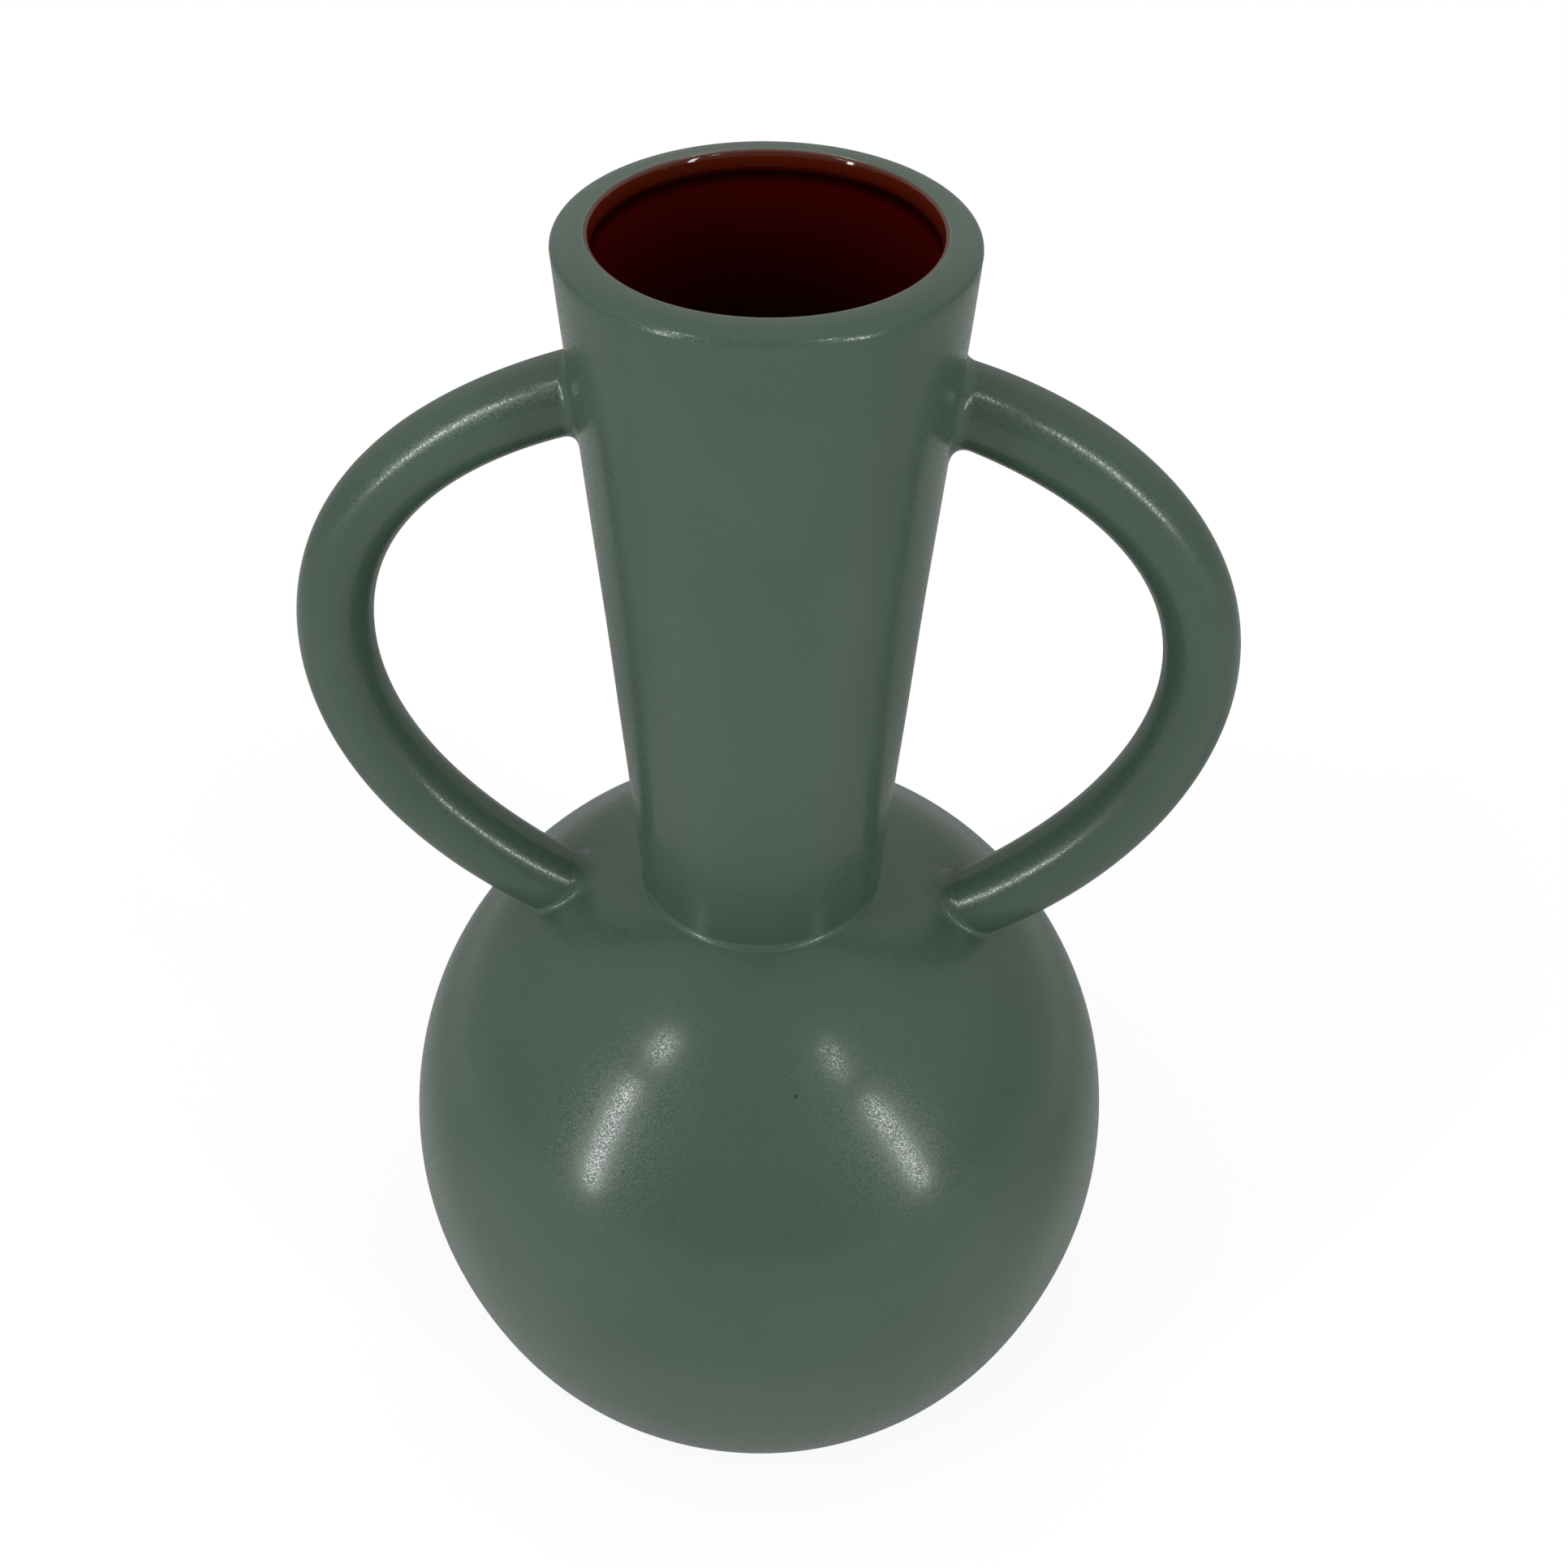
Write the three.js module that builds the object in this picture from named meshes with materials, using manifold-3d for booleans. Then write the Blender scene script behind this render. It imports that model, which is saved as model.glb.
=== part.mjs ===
// A two-handled stoneware vase: a globe made as a bowl and a dome, on a low foot ring, a tapered neck luted
// on top, and two round handles that run from high on the neck down to the shoulder of the globe.
// Millimetres, +Z up. The foot stands on z = 0, the neck's axis is Z, and the handles lie along X.
import * as THREE from "three";
import { mergeVertices } from "three/addons/utils/BufferGeometryUtils.js";
import Module from "manifold-3d";

const wasm = await Module();
wasm.setup();

// Globe: an ellipsoid shell in two halves, cut flat under it for the foot and on top for the neck
const globeRadius = 81.3;
const globeHalfHeight = 84.35;
const globeWall = 6;
const globeFlatRadius = 45.3;
const globeFloor = 6.5;

// Foot ring: a plain turned ring, the only bare clay
const footOuterRadius = 41;
const footWidth = 7;
const footHeight = 3;
const footChamfer = 0.8;

// Neck: a straight taper, wider at the mouth, with a rounded outer edge on its rim
const neckBaseRadius = 25.5;
const neckTopRadius = 36.2;
const neckHeight = 146.9;
const neckWall = 6.1;
const rimRounding = 3;

// Handles: a round bar, set by its two roots, its apex, and how far each quarter leans on its tangent
const handleRadius = 7.6;
const handleReach = 84.9;
const upperRootDrop = 32;
const apexDrop = 92;
const lowerRootLatitude = THREE.MathUtils.degToRad(56.8);
const upperRootSlope = THREE.MathUtils.degToRad(17.5);
const lowerRootSlope = THREE.MathUtils.degToRad(31.6);
const upperRootLean = 31.9;
const upperApexLean = 28.7;
const lowerApexLean = 23.4;
const lowerRootLean = 29.2;

// Coils of slip pressed into the joints, and the clearance that a joint keeps
const neckCoilSize = 1.9;
const rootCoilSize = 2.6;
const jointGap = 0.3;

// The glaze inside, which gathers in a bead under the rim
const glazeThickness = 0.7;
const glazeDrop = 0.4;
const beadHeight = 4.2;
const beadBulge = 0.5;

// Facets
const turnSegments = 60;
const halfGlobeSteps = 9;
const halfHollowSteps = 7;
const roundingSteps = 4;
const beadSteps = 4;
const handleSides = 16;
const handleSteps = 36;
const coilTurnSteps = 28;
const coilArcSteps = 4;

const greenGlaze = { color: 0x52655a, roughness: 0.45 };
const redGlaze = { color: 0x4a0f08, roughness: 0.08 };
const bareClay = { color: 0xcdbfa8, roughness: 0.9 };

// Heights that follow from the sizes above
const globeCentre = footHeight + globeHalfHeight * ellipseShare(globeFlatRadius / globeRadius);
const neckBase = globeTopAt(neckBaseRadius, 0);
const rimTop = neckBase + neckHeight;

// The other coordinate of a point on a unit circle's quarter.
function ellipseShare(share) {
  return Math.sqrt(1 - Math.min(Math.abs(share), 1) ** 2);
}

// The height of the globe's upper half at a radius, on its outer face grown by an offset.
function globeTopAt(radius, offset) {
  return globeCentre + (globeHalfHeight + offset) * ellipseShare(radius / (globeRadius + offset));
}

function globeRadiusAt(height, offset) {
  return (globeRadius + offset) * ellipseShare((height - globeCentre) / (globeHalfHeight + offset));
}

function neckRadiusAt(height) {
  return THREE.MathUtils.mapLinear(height, neckBase, rimTop, neckBaseRadius, neckTopRadius);
}

// Calls a function at evenly spaced values from one number to another, both ends included.
function spread(from, to, steps, pointAt) {
  return Array.from({ length: steps + 1 }, (_, i) => pointAt(THREE.MathUtils.lerp(from, to, i / steps)));
}

function globeLatitudeAt(height, offset) {
  return Math.asin((height - globeCentre) / (globeHalfHeight + offset));
}

// Points [radius, height] along the globe's outline between two latitudes, grown by an offset.
function globeArc(fromLatitude, toLatitude, offset, steps) {
  return spread(fromLatitude, toLatitude, steps, (latitude) => [
    (globeRadius + offset) * Math.cos(latitude),
    globeCentre + (globeHalfHeight + offset) * Math.sin(latitude),
  ]);
}

// Turns an outline of [radius, height] points about Z. It starts and ends on the axis, or is a closed loop.
function turned(points, isLoop = false) {
  const outline = points.map(([radius, height]) => new THREE.Vector2(Math.max(radius, 0), height));
  if (isLoop) outline.push(outline[0].clone());
  return new THREE.LatheGeometry(outline, turnSegments).rotateX(Math.PI / 2);
}

function solidOf(geometry) {
  const bare = new THREE.BufferGeometry();
  bare.setAttribute("position", geometry.getAttribute("position"));
  bare.setIndex(geometry.index);
  const merged = mergeVertices(bare);
  return new wasm.Manifold(
    new wasm.Mesh({
      numProp: 3,
      vertProperties: merged.getAttribute("position").array,
      triVerts: new Uint32Array(merged.index.array),
    }),
  );
}

function geometryOf(solid) {
  const mesh = solid.getMesh();
  const geometry = new THREE.BufferGeometry();
  geometry.setAttribute("position", new THREE.BufferAttribute(mesh.vertProperties, mesh.numProp));
  geometry.setIndex(new THREE.BufferAttribute(mesh.triVerts, 1));
  geometry.computeVertexNormals();
  return geometry;
}

// The dome's inner face, set in by some distance, from the neck's joint down to the equator.
function domeHollow(inset) {
  const offset = -globeWall - inset;
  const joint = globeTopAt(neckBaseRadius - neckWall - inset, offset);
  return globeArc(globeLatitudeAt(joint, offset), 0, offset, halfHollowSteps);
}

// The bowl's inner face, set in by some distance, from the equator down and across the floor.
function bowlHollow(inset) {
  const offset = -globeWall - inset;
  const floor = footHeight + globeFloor + inset;
  return [...globeArc(0, globeLatitudeAt(floor, offset), offset, halfHollowSteps), [0, floor]];
}

function globeHollow(inset) {
  return [...domeHollow(inset), ...bowlHollow(inset).slice(1)];
}

function globeBowl() {
  return turned([
    [0, footHeight],
    ...globeArc(globeLatitudeAt(footHeight, 0), 0, 0, halfGlobeSteps),
    ...bowlHollow(0),
  ]);
}

function globeDome() {
  const outline = [
    ...globeArc(0, globeLatitudeAt(neckBase, 0), 0, halfGlobeSteps),
    [neckBaseRadius - neckWall, neckBase],
    ...domeHollow(0),
  ];
  return turned(outline, true);
}

function footRing() {
  const inner = footOuterRadius - footWidth;
  const outline = [
    [inner, footHeight],
    [inner, footChamfer],
    [inner + footChamfer, 0],
    [footOuterRadius - footChamfer, 0],
    [footOuterRadius, footChamfer],
    [footOuterRadius, footHeight],
  ];
  return turned(outline, true);
}

function neckTube() {
  const shoulder = rimTop - rimRounding;
  const centre = neckRadiusAt(shoulder) - rimRounding;
  const roundedEdge = spread(0, Math.PI / 2, roundingSteps, (angle) => [
    centre + rimRounding * Math.cos(angle),
    shoulder + rimRounding * Math.sin(angle),
  ]);
  const outline = [
    [neckBaseRadius, neckBase],
    ...roundedEdge,
    [neckTopRadius - neckWall, rimTop],
    [neckBaseRadius - neckWall, neckBase],
  ];
  return turned(outline, true);
}

// The coat of glaze inside, one skin from the bead under the rim down to the middle of the floor.
function innerGlaze() {
  const top = rimTop - glazeDrop;
  const boreAt = (height, inset) => neckRadiusAt(height) - neckWall - inset;
  const front = jointGap + glazeThickness;
  const bead = spread(0, 1, beadSteps, (share) => {
    const height = top - beadHeight * share;
    return [boreAt(height, front) - beadBulge * Math.sin(Math.PI * share), height];
  });
  const back = [[boreAt(top, jointGap), top], [boreAt(neckBase, jointGap), neckBase], ...globeHollow(jointGap)];
  return turned([...back.reverse(), ...bead, [boreAt(neckBase, front), neckBase], ...globeHollow(front)]);
}

// The ring of slip in the corner between the neck and the globe, with a hollow face.
function neckCoil() {
  const corner = new THREE.Vector2(neckBaseRadius + jointGap, globeTopAt(neckBaseRadius + jointGap, jointGap));
  const top = corner.y + neckCoilSize;
  const edge = corner.x + neckCoilSize;
  const face = new THREE.QuadraticBezierCurve(
    new THREE.Vector2(edge, globeTopAt(edge, jointGap)),
    corner,
    new THREE.Vector2(neckRadiusAt(top) + jointGap, top),
  );
  return turned([corner, ...face.getPoints(coilArcSteps)].map((point) => point.toArray()), true);
}

// The handle's centreline in the XZ plane, with a straight end inside the neck and another inside the globe.
function handlePath() {
  const inPlane = (x, z) => new THREE.Vector3(x, 0, z);
  const upperHeight = rimTop - upperRootDrop;
  const upperRoot = inPlane(neckRadiusAt(upperHeight), upperHeight);
  const upperOut = inPlane(Math.cos(upperRootSlope), -Math.sin(upperRootSlope));
  const apex = inPlane(handleReach, rimTop - apexDrop);
  const up = inPlane(0, 1);
  const lowerHeight = globeCentre + globeHalfHeight * Math.sin(lowerRootLatitude);
  const lowerRoot = inPlane(globeRadiusAt(lowerHeight, 0), lowerHeight);
  const lowerOut = inPlane(Math.cos(lowerRootSlope), Math.sin(lowerRootSlope));
  const along = (point, direction, distance) => point.clone().addScaledVector(direction, distance);

  const path = new THREE.CurvePath();
  path.add(new THREE.LineCurve3(along(upperRoot, upperOut, -handleRadius), upperRoot));
  path.add(
    new THREE.CubicBezierCurve3(
      upperRoot,
      along(upperRoot, upperOut, upperRootLean),
      along(apex, up, upperApexLean),
      apex,
    ),
  );
  path.add(
    new THREE.CubicBezierCurve3(
      apex,
      along(apex, up, -lowerApexLean),
      along(lowerRoot, lowerOut, lowerRootLean),
      lowerRoot,
    ),
  );
  path.add(new THREE.LineCurve3(lowerRoot, along(lowerRoot, lowerOut, -handleRadius)));
  return path;
}

// The neck and the globe as plain solids a clearance larger, which the handle's ends are cut to.
function clayGrown() {
  const neck = turned([
    [0, neckBase],
    [neckBaseRadius + jointGap, neckBase],
    [neckTopRadius + jointGap, rimTop],
    [0, rimTop],
  ]);
  const globe = turned(globeArc(-Math.PI / 2, Math.PI / 2, jointGap, 4 * halfGlobeSteps));
  return solidOf(neck).add(solidOf(globe));
}

function handleBar(path) {
  const section = new THREE.Shape().absarc(0, 0, handleRadius, 0, 2 * Math.PI);
  const bar = new THREE.ExtrudeGeometry(section, {
    steps: handleSteps,
    curveSegments: handleSides / 2,
    extrudePath: path,
    bevelEnabled: false,
  });
  return geometryOf(solidOf(bar).subtract(clayGrown()));
}

// A point on the bar's face, a clearance out, at a share of the path's length and an angle round it.
function barPoint(path, share, angle) {
  const side = new THREE.Vector3(0, 1, 0);
  const across = new THREE.Vector3().crossVectors(side, path.getTangent(share)).normalize();
  const outward = across.multiplyScalar(Math.cos(angle)).addScaledVector(side, Math.sin(angle));
  return { point: path.getPoint(share).addScaledVector(outward, handleRadius + jointGap), outward };
}

// The share of the path at which a line along the bar's face comes out of the clay.
function rootShare(path, buriedEnd, angle, faceRadiusAt) {
  let inside = buriedEnd;
  let outside = 0.5;
  for (let i = 0; i < 30; i++) {
    const middle = (inside + outside) / 2;
    const { point } = barPoint(path, middle, angle);
    if (Math.hypot(point.x, point.y) < faceRadiusAt(point.z)) inside = middle;
    else outside = middle;
  }
  return outside;
}

// The direction square to a face of revolution, at a point on it.
function faceNormal(point, faceRadiusAt) {
  const step = 0.01;
  const slope = (faceRadiusAt(point.z + step) - faceRadiusAt(point.z - step)) / (2 * step);
  const radius = Math.hypot(point.x, point.y);
  return new THREE.Vector3(point.x / radius, point.y / radius, -slope).normalize();
}

// One cut through a root's coil: its inner corner, and its hollow face from the clay up to the bar.
function coilSection(path, buriedEnd, angle, faceRadiusAt) {
  const share = rootShare(path, buriedEnd, angle, faceRadiusAt);
  const away = (Math.sign(0.5 - buriedEnd) * rootCoilSize) / path.getLength();
  const { point: corner, outward } = barPoint(path, share, angle);
  const onBar = barPoint(path, share + away, angle).point;
  const normal = faceNormal(corner, faceRadiusAt);
  const slide = outward.clone().projectOnPlane(normal).setLength(rootCoilSize);
  const onClay = corner.clone().add(slide);
  const pull = faceRadiusAt(onClay.z) / Math.hypot(onClay.x, onClay.y);
  onClay.multiply(new THREE.Vector3(pull, pull, 1));
  const face = new THREE.QuadraticBezierCurve3(onClay, corner, onBar);
  return [corner, ...face.getPoints(coilArcSteps)];
}

// The ring of slip round a handle's root.
function rootCoil(path, buriedEnd, faceRadiusAt) {
  const turn = Math.sign(buriedEnd - 0.5) * 2 * Math.PI;
  const sections = Array.from({ length: coilTurnSteps }, (_, i) =>
    coilSection(path, buriedEnd, (turn * i) / coilTurnSteps, faceRadiusAt),
  );
  return ringOf(sections);
}

// Joins closed sections, each the same number of points, into one ring-shaped body.
function ringOf(sections) {
  const size = sections[0].length;
  const index = [];
  for (let i = 0; i < sections.length; i++) {
    const next = (i + 1) % sections.length;
    for (let j = 0; j < size; j++) {
      const k = (j + 1) % size;
      index.push(i * size + j, next * size + k, next * size + j);
      index.push(i * size + j, i * size + k, next * size + k);
    }
  }
  const geometry = new THREE.BufferGeometry().setFromPoints(sections.flat()).setIndex(index);
  geometry.computeVertexNormals();
  return geometry;
}

function piece(name, geometry, finish) {
  const mesh = new THREE.Mesh(geometry, new THREE.MeshStandardMaterial({ metalness: 0, ...finish }));
  mesh.name = name;
  return mesh;
}

// One handle with the coils at its two roots, modelled on the +X side and turned about Z to its own side.
function handleGroup(name, turn) {
  const path = handlePath();
  const group = new THREE.Group();
  const neckFace = (height) => neckRadiusAt(height) + jointGap;
  const globeFace = (height) => globeRadiusAt(height, jointGap);
  group.add(piece(name, handleBar(path), greenGlaze));
  group.add(piece(name + "_upper_coil", rootCoil(path, 0, neckFace), greenGlaze));
  group.add(piece(name + "_lower_coil", rootCoil(path, 1, globeFace), greenGlaze));
  group.rotation.z = turn;
  return group;
}

const vase = new THREE.Group();
vase.add(piece("foot_ring", footRing(), bareClay));
vase.add(piece("globe_bowl", globeBowl(), greenGlaze));
vase.add(piece("globe_dome", globeDome(), greenGlaze));
vase.add(piece("neck_tube", neckTube(), greenGlaze));
vase.add(piece("neck_joint_coil", neckCoil(), greenGlaze));
vase.add(piece("inner_glaze", innerGlaze(), redGlaze));
vase.add(handleGroup("handle_right", 0));
vase.add(handleGroup("handle_left", Math.PI));

export default vase;
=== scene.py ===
import math

import bpy
import numpy as np
from mathutils import Matrix, Quaternion, Vector, noise


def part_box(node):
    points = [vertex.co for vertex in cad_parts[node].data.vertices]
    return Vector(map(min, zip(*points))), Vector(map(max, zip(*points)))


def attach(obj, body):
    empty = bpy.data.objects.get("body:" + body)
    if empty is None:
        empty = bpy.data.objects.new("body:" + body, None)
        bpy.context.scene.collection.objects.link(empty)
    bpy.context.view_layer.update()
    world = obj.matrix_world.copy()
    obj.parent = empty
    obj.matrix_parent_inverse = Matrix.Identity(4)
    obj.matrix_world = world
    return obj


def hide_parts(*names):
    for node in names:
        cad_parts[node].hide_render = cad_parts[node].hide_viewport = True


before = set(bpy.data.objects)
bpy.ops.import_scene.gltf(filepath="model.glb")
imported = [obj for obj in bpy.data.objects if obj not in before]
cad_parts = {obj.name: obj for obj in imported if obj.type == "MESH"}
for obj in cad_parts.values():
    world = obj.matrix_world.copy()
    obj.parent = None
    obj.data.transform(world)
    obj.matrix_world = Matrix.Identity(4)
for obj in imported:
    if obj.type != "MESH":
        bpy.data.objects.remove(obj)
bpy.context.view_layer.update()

# A two-handled stoneware vase, in metres: a satin green glaze outside, a glossy dark red glaze inside, and
# a bare clay foot. Every surface is a fine mesh that stands for the plainer solid of the same piece.

MM = 0.001

# Sizes that the frame gives
FOOT_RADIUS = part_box("foot_ring")[1].x
FOOT_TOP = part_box("foot_ring")[1].z
GLOBE_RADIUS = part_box("globe_bowl")[1].x
NECK_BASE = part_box("globe_dome")[1].z
RIM_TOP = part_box("neck_tube")[1].z
HANDLE_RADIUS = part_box("handle_right")[1].y
HANDLE_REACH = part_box("handle_right")[1].x - HANDLE_RADIUS

# Sizes of the clay that a box doesn't show
GLOBE_HALF_HEIGHT = 84.35 * MM
GLOBE_FLAT_RADIUS = 45.3 * MM
GLOBE_WALL = 6 * MM
GLOBE_FLOOR = 6.5 * MM
GLOBE_EDGE_ACROSS = 2.5 * MM
GLOBE_EDGE_RISE = 1.5 * MM
NECK_BASE_RADIUS = 25.5 * MM
NECK_TOP_RADIUS = 36.2 * MM
NECK_WALL = 6.1 * MM
RIM_ACROSS = 4.8 * MM
RIM_DOWN = 2.5 * MM
RIM_INNER_ROUNDING = 0.35 * MM
FOOT_WIDTH = 7 * MM
FOOT_CHAMFER = 0.8 * MM
GLAZE_THICKNESS = 0.45 * MM
GLAZE_DROP = 0.3 * MM

# The bead of glaze under the rim, from its top down to the wall: curves of (thickness, depth) in millimetres
BEAD_CURVES = [
    [(0.0, 0.0), (0.36, 0.0), (0.46, 0.22)],
    [(0.46, 0.22), (0.56, 0.5), (0.64, 1.2)],
    [(0.64, 1.2), (0.74, 2.1), (0.74, 2.5)],
    [(0.74, 2.5), (0.74, 2.85), (0.55, 2.95), (0.45, 3.1)],
]
BEAD_HEIGHT = 3.1 * MM

# Fillets of slip at the joints. Round a handle's root: on the inner side, at the flanks and on the outer side
NECK_FILLET = 1.2 * MM
UPPER_FILLETS = {"right": (4.7 * MM, 2.9 * MM, 2.4 * MM), "left": (3.4 * MM, 2.7 * MM, 1.5 * MM)}
LOWER_FILLET = (4.4 * MM, 1.5 * MM, 1.0 * MM)
FILLET_RIPPLE = 0.2 * MM
RIPPLE_SCALE = 1.7
UPPER_RIPPLE_PLACE = 3.0
LOWER_RIPPLE_PLACE = 7.0
# How far the neck and the bars run into the clay beside them, and how deep a fillet's back lies in it
NECK_SUNK = 1.2 * MM
BAR_SUNK = 0.4 * MM
SEAT = 0.05 * MM

# How far the clay strays from true, over what distance, and the seed that keeps it the same in every run
WOBBLE = 0.1 * MM
WOBBLE_SCALE = 34 * MM
WOBBLE_SEED = 6

# How many millimetres fuller the real vase is than the plain shapes. The globe: by latitude in degrees, with
# more low down on its right-hand side. The neck: by height in millimetres, fading out between two radii
GLOBE_FULLER = ((-90, -62, -48, -30, -16, 0, 24, 45, 56), (0, 0.3, 0.42, 0.3, -0.08, 0.1, 0.26, 0.12, 0))
LOPSIDED = ((-60, -28, -8), (0, 0.36, 0))
NECK_FULLER = ((145, 156, 190, 227, 262, 285, 300), (0, 0.22, 0.05, -0.08, 0.05, 0.24, 0.16))
NECK_REACH = (38 * MM, 55 * MM)
# The mouth is a little out of round: shallower than it is wide, and fuller at the back on the right. Both
# amounts are in millimetres. They begin at a height and are full at the rim
MOUTH_OVAL = 0.22
MOUTH_CORNER = 0.3
OVAL_FROM = 225 * MM

# How finely the faces are cut
TURNS = 192
GLOBE_STEPS = 110
GLOBE_EDGE_STEPS = 6
HOLLOW_STEPS = 60
NECK_STEPS = 59
RIM_STEPS = 24
ARC_STEPS = 5
BEAD_STEPS = 10
WALL_STEPS = 49
CENTRELINE_STEPS = 300
BAR_SIDES = 96
BAR_STEPS = 150
FILLET_STEPS = 16
ROOT_HALVINGS = 24
SHARP_ANGLE = math.radians(40)
ON_AXIS = 1e-9

GLOBE_CENTRE = FOOT_TOP + GLOBE_HALF_HEIGHT * math.sqrt(1 - (GLOBE_FLAT_RADIUS / GLOBE_RADIUS) ** 2)
MOUTH_RADIUS = NECK_TOP_RADIUS - NECK_WALL


def clamped(share):
    return min(1.0, max(0.0, share))


def globe_radius_at(height, offset=0.0):
    share = (height - GLOBE_CENTRE) / (GLOBE_HALF_HEIGHT + offset)
    return (GLOBE_RADIUS + offset) * math.sqrt(max(0.0, 1 - share * share))


def globe_top_at(radius, offset=0.0):
    share = radius / (GLOBE_RADIUS + offset)
    return GLOBE_CENTRE + (GLOBE_HALF_HEIGHT + offset) * math.sqrt(1 - share ** 2)


def neck_radius_at(height):
    share = (height - NECK_BASE) / (RIM_TOP - NECK_BASE)
    return NECK_BASE_RADIUS + (NECK_TOP_RADIUS - NECK_BASE_RADIUS) * share


def globe_arc(low, high, offset, steps):
    """Points (radius, height) along the globe's outline between two heights."""
    half = GLOBE_HALF_HEIGHT + offset
    radius = GLOBE_RADIUS + offset
    start, end = (math.asin((z - GLOBE_CENTRE) / half) for z in (low, high))
    latitudes = np.linspace(start, end, steps + 1)
    return [(radius * math.cos(a), GLOBE_CENTRE + half * math.sin(a)) for a in latitudes]


def bezier_point(corners, share):
    """The point at a share of the way along a Bezier curve."""
    level = [np.array(c, float) for c in corners]
    while len(level) > 1:
        level = [a + (b - a) * share for a, b in zip(level, level[1:])]
    return level[0]


def bezier(corners, steps):
    return [bezier_point(corners, share) for share in np.linspace(0, 1, steps + 1)]


def eased(corners):
    """Points on a Bezier curve, closer together at its ends, where it leaves a face without a crease."""
    turns = np.linspace(0, math.pi, FILLET_STEPS + 1)
    return [bezier_point(corners, (1 - math.cos(turn)) / 2) for turn in turns]


def smooth_table(table, value):
    """Reads a table of (places, amounts) with a smooth step from each place to the next."""
    places, amounts = table
    i = int(np.clip(np.searchsorted(places, value) - 1, 0, len(places) - 2))
    share = clamped((value - places[i]) / (places[i + 1] - places[i]))
    return amounts[i] + (amounts[i + 1] - amounts[i]) * share * share * (3 - 2 * share)


def fuller(point):
    """How far the real vase's walls lie outside the plain shapes here, as a move in X, Y and Z."""
    x, y, z = point
    radius = math.hypot(x, y)
    if radius < ON_AXIS:
        return np.zeros(3)
    latitude = math.degrees(math.atan2(z - GLOBE_CENTRE, radius))
    way = np.array((x, y, z - GLOBE_CENTRE))
    bulge = smooth_table(GLOBE_FULLER, latitude)
    bulge += smooth_table(LOPSIDED, latitude) * max(0.0, x / radius)
    globe_move = way / np.linalg.norm(way) * bulge
    outward = np.array((x, y, 0)) / radius
    near_neck = clamped((NECK_REACH[1] - radius) / (NECK_REACH[1] - NECK_REACH[0]))
    near_rim = near_neck * clamped((z - OVAL_FROM) / (RIM_TOP - OVAL_FROM))
    corner = 2 * x * y / radius ** 2 if x > 0 and y > 0 else 0.0
    neck_move = outward * (smooth_table(NECK_FULLER, z / MM) * near_neck + MOUTH_CORNER * corner * near_rim)
    neck_move[1] -= y / radius * MOUTH_OVAL * near_rim
    return (globe_move + neck_move) * MM


def strayed(points):
    """The points moved a little, by one smooth field that all the clay shares, so that joints stay closed.
    The face that the vase stands on stays flat."""
    moved = np.array(points, float)
    for i, p in enumerate(moved):
        wobble = WOBBLE * np.array(noise.noise_vector(Vector(p) / WOBBLE_SCALE))
        moved[i] = p + (fuller(p) + wobble) * clamped(p[2] / FOOT_TOP)
    return moved


def clay_mesh(name, points, faces):
    """A shaded mesh object from points and faces, with its sharp edges kept crisp."""
    mesh = bpy.data.meshes.new(name)
    mesh.from_pydata(points.tolist(), [], faces)
    mesh.validate()
    mesh.shade_smooth()
    mesh.set_sharp_from_angle(angle=SHARP_ANGLE)
    made = bpy.data.objects.new(name, mesh)
    bpy.context.scene.collection.objects.link(made)
    return made


def turned(name, outline, closed=False):
    """Turns an outline of (radius, height) about Z. Its ends lie on the axis, or it is a closed loop."""
    angles = np.arange(TURNS) * 2 * math.pi / TURNS
    points, rings = [], []
    for radius, height in outline:
        if radius < ON_AXIS:
            rings.append([len(points)] * TURNS)
            points.append((0.0, 0.0, height))
            continue
        rings.append(list(range(len(points), len(points) + TURNS)))
        points.extend((radius * math.cos(a), radius * math.sin(a), height) for a in angles)
    pairs = list(zip(rings, rings[1:]))
    if closed:
        pairs.append((rings[-1], rings[0]))
    faces = []
    for low, high in pairs:
        for i in range(TURNS):
            k = (i + 1) % TURNS
            corners = [low[i], low[k], high[k], high[i]]
            faces.append(list(dict.fromkeys(corners)))
    return clay_mesh(name, strayed(points), faces)


def arc(radius, height, size, start, end):
    """Points (radius, height) round part of a circle, between two angles in degrees."""
    return [
        (radius + size * math.cos(a), height + size * math.sin(a))
        for a in np.linspace(math.radians(start), math.radians(end), ARC_STEPS + 1)
    ]


def globe_hollow(inset):
    """The globe's inner outline, set in by some distance, from the joint down to the middle of the floor."""
    offset = -GLOBE_WALL - inset
    top = globe_top_at(NECK_BASE_RADIUS - NECK_WALL - inset, offset)
    floor = FOOT_TOP + GLOBE_FLOOR + inset
    return globe_arc(top, floor, offset, HOLLOW_STEPS) + [(0.0, floor)]


def globe_shell():
    """The globe, with the edge of its flat underside rounded over."""
    low = FOOT_TOP + GLOBE_EDGE_RISE
    edge = [
        (GLOBE_FLAT_RADIUS - GLOBE_EDGE_ACROSS, FOOT_TOP),
        (GLOBE_FLAT_RADIUS, FOOT_TOP),
        (globe_radius_at(low), low),
    ]
    outline = [(0.0, FOOT_TOP)]
    outline += [tuple(p) for p in bezier(edge, GLOBE_EDGE_STEPS)]
    outline += globe_arc(low, NECK_BASE, 0.0, GLOBE_STEPS)[1:]
    outline += [(NECK_BASE_RADIUS - NECK_WALL, NECK_BASE)]
    outline += globe_hollow(0.0)
    return turned("globe_shell", outline)


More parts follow.
